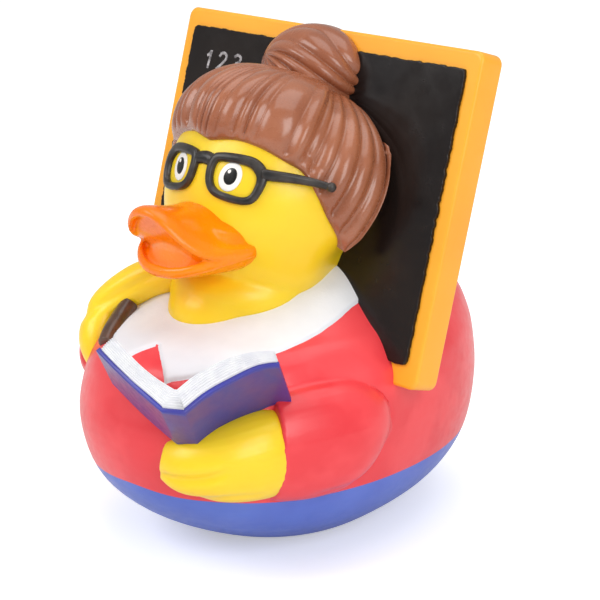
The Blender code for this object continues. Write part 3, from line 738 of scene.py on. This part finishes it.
def make_body(materials):
    rings = [body_ring(*row) for row in spline(BODY_SECTIONS, 5)]
    points, quads = moulded([skin(rings), limb(LEFT_SLEEVE), limb(RIGHT_SLEEVE)], BODY_VOXEL, 2)
    points[:, 2] = np.maximum(points[:, 2], 0.0)
    for place, size, height in SWELLS:
        away = np.linalg.norm(points - np.array(place), axis=1) / size
        points = points + point_normals(points, quads) * (height * np.exp(-away ** 2))[:, None]
    away = inside_outline(points[:, 1:], spline(SLEEVE_OUTLINE, 6)) / SLEEVE_CREASE_WIDTH
    fade = eased((points[:, 1] - SLEEVE_CREASE_FRONT) / SLEEVE_CREASE_FADE)
    fade *= eased((SLEEVE_CREASE_TOP - points[:, 2]) / SLEEVE_CREASE_FADE)
    depth = SLEEVE_CREASE_DEPTH * np.exp(-away ** 2) * fade * (points[:, 0] > SLEEVE_CREASE_SIDE)
    points = points - point_normals(points, quads) * depth[:, None]
    raised = eased(collar_value(points) / COLLAR_STEP)
    normals = point_normals(points, quads)
    points, faces, _ = split_at_zero(points, quads.tolist(), collar_value(points))
    more = len(points) - len(raised)
    raised = np.concatenate((raised, np.zeros(more)))
    normals = np.concatenate((normals, np.zeros((more, 3))))
    points = points + normals * (raised * COLLAR_PROUD)[:, None]
    points, faces, _ = split_at_zero(points, faces, base_value(points))
    mesh = raw_mesh("body", points, faces)
    for key in ("red", "blue", "white"):
        mesh.materials.append(materials[key])
    centres = np.empty(len(mesh.polygons) * 3)
    mesh.polygons.foreach_get("center", centres)
    centres = centres.reshape(-1, 3) / MM
    index = np.where(base_value(centres) > 0.0, 1, 0)
    index = np.where(collar_value(centres) > 0.0, 2, index)
    mesh.polygons.foreach_set("material_index", index.astype(np.int32))
    return finish_piece("body", mesh, materials["red"])


def make_skin_parts(materials):
    forms = ((HEAD_CENTRE, HEAD_RADII), (NECK_CENTRE, NECK_RADII), (THROAT_CENTRE, THROAT_RADII))
    points, quads = moulded([egg(*form) for form in forms], HEAD_VOXEL, 28)
    narrow = eased((JAW_TOP - points[:, 2]) / JAW_DEPTH)
    narrow *= eased((points[:, 1] - JAW_FRONT) / JAW_LENGTH)
    points[:, 0] *= 1.0 - JAW_TAPER * narrow
    make_piece("head", pressed_on_board(points), quads.tolist(), materials["yellow"])
    points, quads = moulded([limb(LEFT_HAND)], HAND_VOXEL, 4)
    normals = point_normals(points, quads)
    for route, depth, width, end in FINGER_GROOVES:
        away = (points[:, 2] - smooth_table(route, points[:, 0])) / width
        fade = eased((end - points[:, 0]) / FINGER_END_FADE)
        fade *= eased((points[:, 0] - FINGER_START) / FINGER_START_FADE)
        fade *= eased(-normals[:, 1] / 0.3)
        points = points - normals * (depth * np.exp(-away ** 2) * fade)[:, None]
    make_piece("left_hand", points, quads.tolist(), materials["yellow"])
    points, quads = moulded([limb(RIGHT_HAND)], HAND_VOXEL, 4)
    normals = point_normals(points, quads)
    away = (points - RIGHT_FOLD_PLACE) @ RIGHT_FOLD_ACROSS / RIGHT_FOLD_WIDTH
    fade = eased(-normals[:, 1] / 0.4) * RIGHT_FOLD_DEPTH
    points = points - normals * (np.exp(-away ** 2) * fade)[:, None]
    make_piece("right_hand", points, quads.tolist(), materials["yellow"])
    points, quads = moulded([limb(STRAP)], STRAP_VOXEL, 3)
    make_piece("strap", points, quads.tolist(), materials["strap"])


# Hair and bun


def head_skin(directions, proud):
    units = directions / np.linalg.norm(directions, axis=1)[:, None]
    reach = 1.0 / np.linalg.norm(units / HEAD_RADII, axis=1)
    return HEAD_CENTRE + units * (reach + proud)[:, None]


def make_hair(materials):
    turn = np.linspace(0.0, 2.0 * math.pi, HAIR_COLUMNS, endpoint=False)
    degrees = np.degrees(np.where(turn > math.pi, turn - 2.0 * math.pi, turn))
    rise = smooth_table(HAIRLINE, np.abs(degrees))
    edges = np.array([head_point(a, r, 0.0) for a, r in zip(turn, rise)]) - HEAD_CENTRE
    edges /= np.linalg.norm(edges, axis=1)[:, None]
    crown = CROWN_DIRECTION / np.linalg.norm(CROWN_DIRECTION)
    between = np.arccos(np.clip(edges @ crown, -1.0, 1.0))[:, None]
    past_lock = np.abs(degrees) - LOCK_ANGLE
    phase = STRANDS * turn / (2.0 * math.pi) + 0.35 * np.sin(5.0 * turn)
    phase += 0.3 * np.sin(11.0 * turn + 1.0)
    phase += SIDE_STRANDS * eased(past_lock / 60.0)
    side = eased(past_lock / 6.0)
    ridge = np.abs(np.sin(math.pi * phase)) ** (0.9 - 0.35 * side)
    depth = STRAND_DEPTH * (0.6 + 0.5 * np.sin(7.0 * turn + 2.0) ** 2 + 0.5 * side)
    step = LOCK_STEP * eased((past_lock + 2.5) / 2.5) * (1.0 - eased(past_lock / 14.0))
    fringe = np.clip(-edges[:, 1], 0.0, 1.0)
    rows = [HEAD_CENTRE + edges * HEAD_RADII[0] * 0.7]
    shares = np.linspace(0.0, 1.0, HAIR_ROWS) ** 1.4
    for share in shares:
        swell = smooth_table(SIDE_THICKNESS, share) * (1.0 - fringe)
        swell = swell + smooth_table(FRINGE_THICKNESS, share) * fringe
        angle = between * CROWN_SHARE * share
        way = (np.sin(between - angle) * edges + np.sin(angle) * crown) / np.sin(between)
        falling = (1.0 - share * (1.5 - 0.9 * side).clip(0.0, 1.4)).clip(0.05, 1.0)
        fade = min(share / 0.04, 1.0) * falling
        step_fade = min(share / 0.1, 1.0) * (1.0 - 0.9 * share)
        rows.append(head_skin(way, swell - depth * (1.0 - ridge) * fade - step * step_fade))
    points, faces = skin(rows)
    make_piece("hair", pressed_on_board(points), faces, materials["brown"])


def make_bun(materials):
    """A bun of strands that leave its front and sweep round it, with grooves between them."""
    turn = np.linspace(0.0, 2.0 * math.pi, 420, endpoint=False)
    axis = BUN_AXIS / np.linalg.norm(BUN_AXIS)
    right = np.cross((0.0, 0.0, 1.0), axis)
    right /= np.linalg.norm(right)
    up = np.cross(axis, right)
    rings = []
    for polar in np.linspace(0.0, math.pi, 92)[1:-1]:
        phase = BUN_RIBS * (turn + BUN_TWIST * polar) / (2.0 * math.pi) + 0.4 * np.sin(3.0 * turn)
        ridge = np.abs(np.sin(math.pi * phase)) ** 0.7
        spoke = np.cos(turn)[:, None] * right + np.sin(turn)[:, None] * up
        ring = math.cos(polar) * axis + math.sin(polar) * spoke
        depth = BUN_GROOVE * (0.65 + 0.35 * np.sin(2.0 * turn + 0.7)) * eased(polar / 0.7)
        rings.append(BUN_CENTRE + ring * (BUN_RADII + 0.3 - (depth * (1.0 - ridge))[:, None]))
    points, faces = skin(rings)
    make_piece("bun", pressed_on_board(points), faces, materials["brown"])


# Eyes and glasses


def make_oval(name, middle, half, proud, material):
    """A thin painted oval on the head, slightly crowned."""
    rings = []
    for size, lift in OVAL_LEVELS:
        height = proud * lift if lift > 0.0 else lift
        ring = []
        for turn in np.linspace(0.0, 2.0 * math.pi, 64, endpoint=False):
            across = middle[0] + half[0] * size * math.cos(turn)
            rise = middle[1] + half[1] * size * math.sin(turn)
            ring.append(face_point(across, rise, height))
        rings.append(ring)
    points, faces = skin(rings)
    make_piece(name, points, faces, material)


def make_eyes(materials):
    for name, side in (("left", 1.0), ("right", -1.0)):
        for oval, offset, half, proud, paint, slot in EYE_OVALS:
            middle = (side * EYE_ACROSS + EYE_SHIFT + offset[0], EYE_RISE + offset[1])
            make_oval(oval + name, middle, half, proud, materials[paint])


def make_glasses(materials):
    for name, side in (("left", 1.0), ("right", -1.0)):
        outer = spline(RIM_OUTER, 10, closed=True)
        inner = spline(RIM_INNER, 10, closed=True)
        rings = []
        for a, b in zip(outer, inner):
            ring = []
            for share, lift in RIM_SECTION:
                across, rise = a + (b - a) * share
                rise -= GLASSES_DROP
                ring.append(face_point(GLASSES_MIDDLE + side * across, rise, RIM_PROUD * lift))
            rings.append(ring)
        points, faces = skin(rings, capped=False, closed=True)
        make_piece("rim_" + name, points, faces, materials["black"])
    rings = []
    for across in np.linspace(-BRIDGE_HALF_WIDTH, BRIDGE_HALF_WIDTH, 13):
        middle = BRIDGE_RISE + 0.25 * math.cos(across)
        ring = []
        for turn in np.linspace(0.0, 2.0 * math.pi, 20, endpoint=False):
            rise = middle + BRIDGE_HALF_HEIGHT * math.cos(turn)
            ring.append(face_point(GLASSES_MIDDLE + across, rise, 0.1 + 0.85 * math.sin(turn)))
        rings.append(ring)
    points, faces = skin(rings)
    make_piece("bridge", points, faces, materials["black"])


def make_temples(materials):
    for name, side in (("left", 1.0), ("right", -1.0)):
        route = spline(TEMPLE_ROUTE, 8)
        rings = []
        for share, place in zip(np.linspace(0.0, 1.0, len(route)), route):
            outward = place - HEAD_CENTRE
            outward[2] = 0.0
            outward /= np.linalg.norm(outward)
            half = TEMPLE_HALF_HEIGHT - TEMPLE_TAPER * share
            ring = []
            for turn in np.linspace(0.0, 2.0 * math.pi, 20, endpoint=False):
                lift = np.sign(math.sin(turn)) * abs(math.sin(turn)) ** 0.7 * half
                spoke = outward * TEMPLE_HALF_THICKNESS * math.cos(turn)
                ring.append(place + spoke + np.array((0.0, 0.0, lift)))
            rings.append(ring)
        rings = np.array(rings)
        ball_radii = np.full(3, TEMPLE_BALL_RADIUS)
        ball_points, ball_faces = egg(route[-1] + TEMPLE_BALL_OFFSET, ball_radii, 24, 14)
        mirror = np.array((side, 1.0, 1.0))
        if side < 0.0:
            rings = HEAD_CENTRE + (rings - HEAD_CENTRE) * FAR_TEMPLE_SHARE
            ball_points = HEAD_CENTRE + (ball_points - HEAD_CENTRE) * FAR_TEMPLE_SHARE
        points, faces = skin(rings)
        black = materials["black"]
        make_piece("temple_" + name, points * mirror, faces, black)
        make_piece("temple_tip_" + name, ball_points * mirror, ball_faces, black)


# Bill


def bill_plan(turn):
    """Shares across and forward of the bill's plan at a turn from cheek to cheek."""
    power = 2.0 / BILL_PLAN_SQUARENESS
    across = math.copysign(abs(math.cos(turn)) ** power, math.cos(turn))
    return across, math.sin(turn) ** power


def upper_section(turn):
    across, forward = bill_plan(turn)
    lift = math.sin(turn)
    root_rise = UPPER_ROOT_RISE * eased(lift)
    sharpness = UPPER_TIP_SHARPNESS if across > 0.0 else UPPER_FAR_SHARPNESS
    root = np.array((BILL_ROOT_ACROSS * across, BILL_ROOT_Y, BILL_CORNER[2] + root_rise))
    rim = BILL_CORNER * np.array((across, 1.0, 1.0))
    rim += np.array((0.0, -UPPER_REACH * forward, UPPER_TIP_RISE * lift ** sharpness))
    outward = (rim - root) / np.linalg.norm(rim - root)
    half = UPPER_THICKNESS * (0.75 + 0.25 * lift) / 2.0
    up = np.array((0.0, 0.0, half))
    middle = root + (rim - root) * 0.55 + np.array((0.0, 0.0, UPPER_BOW * lift))
    nose = outward * half * 0.7
    under = 0.95 - 0.25 * lift ** 8
    level = outward * (1.0, 1.0, 0.0)
    back = 0.4 + 0.6 * lift
    chin = rim - level * UPPER_CHIN_BACK * back - up * 1.2
    chin = chin - np.array((0.0, 0.0, UPPER_CHIN_DROP * lift ** 2))
    loop = [root + up, middle + up, rim - outward * 1.5 + up * 1.05, rim + up]
    loop += [rim + nose + up * 0.7, rim + outward * half, rim + nose - up * 0.7 * under]
    loop += [rim - up * under, rim - level * half * back - up * 1.35 * under]
    loop += [chin, chin - level * half - up * 0.1, root - up]
    return spline(loop, 4, closed=True)


def lower_section(turn):
    across, forward = bill_plan(turn)
    lift = math.sin(turn)
    root = np.array((BILL_ROOT_ACROSS * across, BILL_ROOT_Y, BILL_CORNER[2]))
    rim = BILL_CORNER * np.array((across, 1.0, 1.0))
    drop = LOWER_TIP_DROP * lift ** 2 + LOWER_CORNER_DROP * (1.0 - lift)
    rim += np.array((0.0, -LOWER_REACH * forward, -drop))
    outward = rim - root
    outward[2] = 0.0
    outward /= np.linalg.norm(outward)
    roll = LOWER_ROLL * (1.1 - 0.1 * lift)
    rise = np.array((0.0, 0.0, 1.0))
    belly = rise * (LOWER_ROOT_DEPTH + LOWER_BELLY * lift ** 0.7)
    share = 0.1 + 0.9 * lift
    back = 0.5 + 0.5 * lift
    spoon = rim - outward * DISC_BACK * back + rise * (DISC_RISE + LOWER_TIP_DROP) * share
    loop = [root - belly, root + (rim - root) * 0.7 - belly * (0.95 - 0.45 * lift)]
    loop += [rim - rise * roll, rim + (outward - rise) * roll * 0.7, rim + outward * roll]
    loop += [rim + (outward + rise) * roll * 0.7, rim + rise * roll]
    loop += [rim - outward * roll * 1.1 + rise * roll * 0.35, spoon]
    loop += [root + rise * (DISC_RISE + 1.0) * share]
    return spline(loop, 4, closed=True)


def disc_value(points):
    """Positive on the spoon-shaped inner face of the lower lip."""
    slope = np.array((0.0, 0.5, 0.866))
    away = points - DISC_CENTRE
    across = away[:, 0] / DISC_HALF_WIDTH
    along = away @ slope / DISC_HALF_HEIGHT
    depth = away @ np.array((0.0, -0.866, 0.5)) / DISC_DEPTH
    return 1.0 - across ** 2 - along ** 2 - depth ** 2


def with_round_ends(sections):
    """Sections of a lip with a smaller one beyond each end."""
    ends = []
    for section, side in ((sections[0], 1.0), (sections[-1], -1.0)):
        middle = section.mean(axis=0)
        beyond = np.array((side * BILL_END_REACH, 0.0, 0.0))
        ends.append(middle + (section - middle) * BILL_END_SHARE + beyond)
    return [ends[0]] + sections + [ends[1]]


def make_bill(materials):
    turns = np.linspace(0.0, math.pi, 49)
    upper = skin(with_round_ends([upper_section(turn) for turn in turns]))
    lower = skin(with_round_ends([lower_section(turn) for turn in turns]))
    points, quads = moulded([upper, lower], BILL_VOXEL, 9)
    points, faces, sides = split_at_zero(points, quads.tolist(), disc_value(points))
    mesh = raw_mesh("bill", points, faces)
    mesh.materials.append(materials["orange"])
    mesh.materials.append(materials["disc"])
    mesh.polygons.foreach_set("material_index", np.array(sides, dtype=np.int32))
    finish_piece("bill", mesh, materials["orange"])


# Book


def book_axes():
    width = np.array((math.cos(BOOK_TURN), math.sin(BOOK_TURN), 0.0))
    front = np.array((math.sin(BOOK_TURN), -math.cos(BOOK_TURN), 0.0))
    rise = np.array((0.0, 0.0, 1.0))
    spine = front * math.sin(BOOK_LEAN) + rise * math.cos(BOOK_LEAN)
    inward = rise * math.sin(BOOK_LEAN) - front * math.cos(BOOK_LEAN)
    return width, inward, spine


def book_points(flat, up):
    width, inward, spine = book_axes()
    flat = np.asarray(flat)
    along = np.broadcast_to(up, len(flat))
    level = BOOK_SPINE + np.outer(flat[:, 0], width) + np.outer(flat[:, 1], inward)
    return level + np.outer(along, spine)


def book_line(left, right):
    """A line over both halves of the book, from its left edge to its right edge."""
    return np.concatenate((spline(left, 8)[::-1], spline(right, 8)))


def offset_line(line, distance):
    """A line moved sideways by a distance, towards the inside of the book."""
    ahead = np.gradient(line, axis=0)
    ahead /= np.linalg.norm(ahead, axis=1)[:, None]
    return line + np.stack((-ahead[:, 1], ahead[:, 0]), axis=1) * distance


def extruded_loop(outline, levels):
    """A closed section of the book carried up through (up, inset) levels."""
    rings = []
    for up, inset in levels:
        ahead = np.roll(outline, -1, axis=0) - np.roll(outline, 1, axis=0)
        ahead /= np.maximum(np.linalg.norm(ahead, axis=1), 1e-6)[:, None]
        inward = np.stack((-ahead[:, 1], ahead[:, 0]), axis=1)
        flat = outline + inward * inset
        sag = BOOK_SAG * eased((flat[:, 0] + 0.5) / 4.0) * (1.0 - up / BOOK_HEIGHT)
        rings.append(book_points(flat, up - sag))
    return skin(rings)


def make_pages(materials):
    """A block of pages whose top end shows fine ridges along the leaves."""
    cover = book_line(LEFT_HALF, RIGHT_HALF)
    near = offset_line(cover, COVER_THICKNESS - 0.15)[1:-1]
    far = book_line(LEFT_PAGES, RIGHT_PAGES)[1:-1]
    rows = [(near, 0.5)]
    for k in range(4 * PAGE_LAYERS + 1):
        share = k / (4.0 * PAGE_LAYERS)
        ridge = PAGE_RIDGE * abs(math.sin(math.pi * k / 4.0)) ** 0.7
        crown = 0.5 * (1.0 - (2.0 * share - 1.0) ** 2) ** 0.5
        rows.append((near + (far - near) * share, BOOK_HEIGHT - 0.5 + crown + ridge))
    rows.append((far, 0.5))
    rings = [book_points(line, up) for line, up in rows]
    points, faces = skin(np.array(rings).transpose(1, 0, 2))
    points = points + 0.05 * wobble(points, 5.0, 31)[:, None]
    make_piece("book_pages", points, faces, materials["page"])


def make_book(materials):
    front = book_line(LEFT_HALF, RIGHT_HALF)
    inner = offset_line(front, COVER_THICKNESS)
    outline = np.concatenate((front, inner[::-1]))
    top = BOOK_HEIGHT - 0.4
    levels = [(0.0, 0.2), (0.15, 0.0)] + [(up, 0.0) for up in np.linspace(0.6, top - 0.6, 24)]
    points, faces = extruded_loop(outline, levels + [(top - 0.15, 0.0), (top, 0.2)])
    width, _, spine = book_axes()
    away = points - BOOK_SPINE
    sag = BOOK_SAG * eased((away @ width + 0.5) / 4.0)
    up = (away @ spine + sag) / (1.0 + sag / BOOK_HEIGHT)
    border = COVER_BORDER + 0.3 * wobble(points, 5.0, 41)
    points, faces, sides = split_at_zero(points, faces, np.minimum(up - border, top - border - up))
    mesh = raw_mesh("book_cover", points, faces)
    mesh.materials.append(materials["border"])
    mesh.materials.append(materials["cover"])
    mesh.polygons.foreach_set("material_index", np.array(sides, dtype=np.int32))
    finish_piece("book_cover", mesh, materials["cover"])
    make_pages(materials)


# Chalkboard


def rounded_rectangle(left, right, bottom, top, radius, spacing=0.6):
    """A closed outline with rounded corners and points at an even spacing."""
    corners = ((right - radius, top - radius, 0.0), (left + radius, top - radius, 90.0),
               (left + radius, bottom + radius, 180.0), (right - radius, bottom + radius, 270.0))
    outline = []
    for x, y, start in corners:
        for step in range(9):
            turn = math.radians(start + 90.0 * step / 8.0)
            outline.append((x + radius * math.cos(turn), y + radius * math.sin(turn)))
    dense = []
    for here, following in zip(outline, outline[1:] + outline[:1]):
        here, following = np.array(here), np.array(following)
        steps = max(int(np.linalg.norm(following - here) / spacing), 1)
        for k in range(steps):
            dense.append(here + (following - here) * k / steps)
    return np.array(dense)


def plate(outline, levels):
    middle = (outline.min(axis=0) + outline.max(axis=0)) / 2.0
    half = (outline.max(axis=0) - outline.min(axis=0)) / 2.0
    rings = []
    for out, inset in levels:
        scale = (half - inset) / half
        rings.append([board_point(x, y, out) for x, y in middle + (outline - middle) * scale])
    return skin(rings)


def edge_levels(back, front, edge):
    """Levels of a plate with rounded edges between its back and its front."""
    turns = [math.radians(15.0 * k) for k in range(7)]
    bends = [(edge * (1.0 - math.sin(turn)), edge * (1.0 - math.cos(turn))) for turn in turns]
    lower = [(back + depth, inset) for depth, inset in reversed(bends)]
    upper = [(front - depth, inset) for depth, inset in bends]
    return lower + upper


def make_board(materials):
    half = BOARD_WIDTH / 2.0
    outline = rounded_rectangle(-half, half, -BOARD_LENGTH, 0.0, BOARD_CORNER)
    points, faces = plate(outline, edge_levels(-BOARD_THICKNESS, 0.0, BOARD_EDGE))
    make_piece("board_frame", points, faces, materials["frame"])
    inner = half - FRAME_SIDE
    outline = rounded_rectangle(-inner, inner, FRAME_BOTTOM - BOARD_LENGTH, -FRAME_TOP, 1.2, 0.35)
    space = np.column_stack((outline, np.zeros(len(outline))))
    outward = outline - outline.mean(axis=0)
    outward /= np.linalg.norm(outward, axis=1)[:, None]
    jagged = 0.22 * wobble(space, 1.3, 21) + 0.22 * wobble(space, 4.0, 22)
    outline = outline + outward * jagged[:, None]
    points, faces = plate(outline, [(-0.5, 0.0)] + edge_levels(0.0, PANEL_PROUD, 0.25)[6:])
    make_piece("board_panel", points, faces, materials["slate"])


def make_numerals(materials):
    """Chalk numerals on the panel, each a set of soft flat strokes."""
    for number, shape in enumerate(NUMERALS):
        base = NUMERAL_CORNER + np.array((NUMERAL_PITCH * number, 0.0))
        line = spline(shape, 6)
        line = base + line + (CHALK_SLANT * line[:, 1:2] * (1.0, 0.0))
        ahead = np.gradient(line, axis=0)
        ahead /= np.maximum(np.linalg.norm(ahead, axis=1), 1e-6)[:, None]
        side = np.stack((-ahead[:, 1], ahead[:, 0]), axis=1)
        rings = []
        for k, place in enumerate(line):
            half = CHALK_WIDTH / 2.0 * (1.0 + 0.25 * math.sin(2.7 * k + number))
            ring = []
            for turn in np.linspace(0.0, 2.0 * math.pi, 10, endpoint=False):
                x, y = place + side[k] * half * math.cos(turn)
                ring.append(board_point(x, y, PANEL_PROUD + CHALK_PROUD * math.sin(turn)))
            rings.append(ring)
        points, faces = skin(rings)
        make_piece("chalk_%d" % (number + 1), points, faces, materials["chalk"])


# Camera, floor and light


def aim(holder, place, target):
    way = Vector(place) - Vector(target)
    turned = way.to_track_quat("Z", "Y").to_matrix().to_4x4()
    holder.matrix_world = Matrix.Translation(Vector(place)) @ turned


def make_camera():
    data = bpy.data.cameras.new("camera")
    data.lens = CAMERA_LENS
    data.sensor_width = 36.0
    data.clip_start = 0.01
    data.clip_end = 20.0
    holder = bpy.data.objects.new("camera", data)
    bpy.context.scene.collection.objects.link(holder)
    level = math.cos(CAMERA_ELEVATION)
    way = np.array((math.sin(CAMERA_AZIMUTH) * level, -math.cos(CAMERA_AZIMUTH) * level,
                    math.sin(CAMERA_ELEVATION)))
    place = (CAMERA_TARGET + way * CAMERA_DISTANCE) * MM
    aim(holder, place, CAMERA_TARGET * MM)
    bpy.context.scene.camera = holder


def make_light(name, place, size, power):
    data = bpy.data.lights.new(name, "AREA")
    data.shape = "RECTANGLE"
    data.size = size[0]
    data.size_y = size[1]
    data.energy = power
    holder = bpy.data.objects.new(name, data)
    bpy.context.scene.collection.objects.link(holder)
    aim(holder, place, LIGHT_TARGET)


def make_surroundings():
    mesh = bpy.data.meshes.new("floor")
    signs = ((-1.0, -1.0), (1.0, -1.0), (1.0, 1.0), (-1.0, 1.0))
    corners = [(x * FLOOR_REACH, y * FLOOR_REACH, 0.0) for x, y in signs]
    mesh.from_pydata(corners, [], [(0, 1, 2, 3)])
    material = bpy.data.materials.new("floor")
    material.use_nodes = True
    tree = material.node_tree
    shader = tree.nodes["Principled BSDF"]
    shader.inputs["Base Color"].default_value = (0.9, 0.9, 0.9, 1.0)
    shader.inputs["Roughness"].default_value = 0.9
    path = node(tree, "ShaderNodeLightPath")
    seen = ramp(tree, path.outputs["Is Camera Ray"], 0.0, 1.0, 0.0, FLOOR_GLOW)
    shader.inputs["Emission Color"].default_value = (1.0, 1.0, 1.0, 1.0)
    tree.links.new(seen, shader.inputs["Emission Strength"])
    mesh.materials.append(material)
    floor = bpy.data.objects.new("floor", mesh)
    bpy.context.scene.collection.objects.link(floor)
    world = bpy.data.worlds.new("studio")
    bpy.context.scene.world = world
    world.use_nodes = True
    background = world.node_tree.nodes["Background"]
    background.inputs["Color"].default_value = (1.0, 1.0, 1.0, 1.0)
    background.inputs["Strength"].default_value = WORLD_STRENGTH
    for light in LIGHTS:
        make_light(*light)


def main():
    make_camera()
    make_surroundings()
    materials = make_materials()
    make_body(materials)
    make_skin_parts(materials)
    make_hair(materials)
    make_bun(materials)
    make_eyes(materials)
    make_glasses(materials)
    make_temples(materials)
    make_bill(materials)
    make_book(materials)
    make_board(materials)
    make_numerals(materials)


main()
bpy.context.scene.view_settings.view_transform = "Standard"
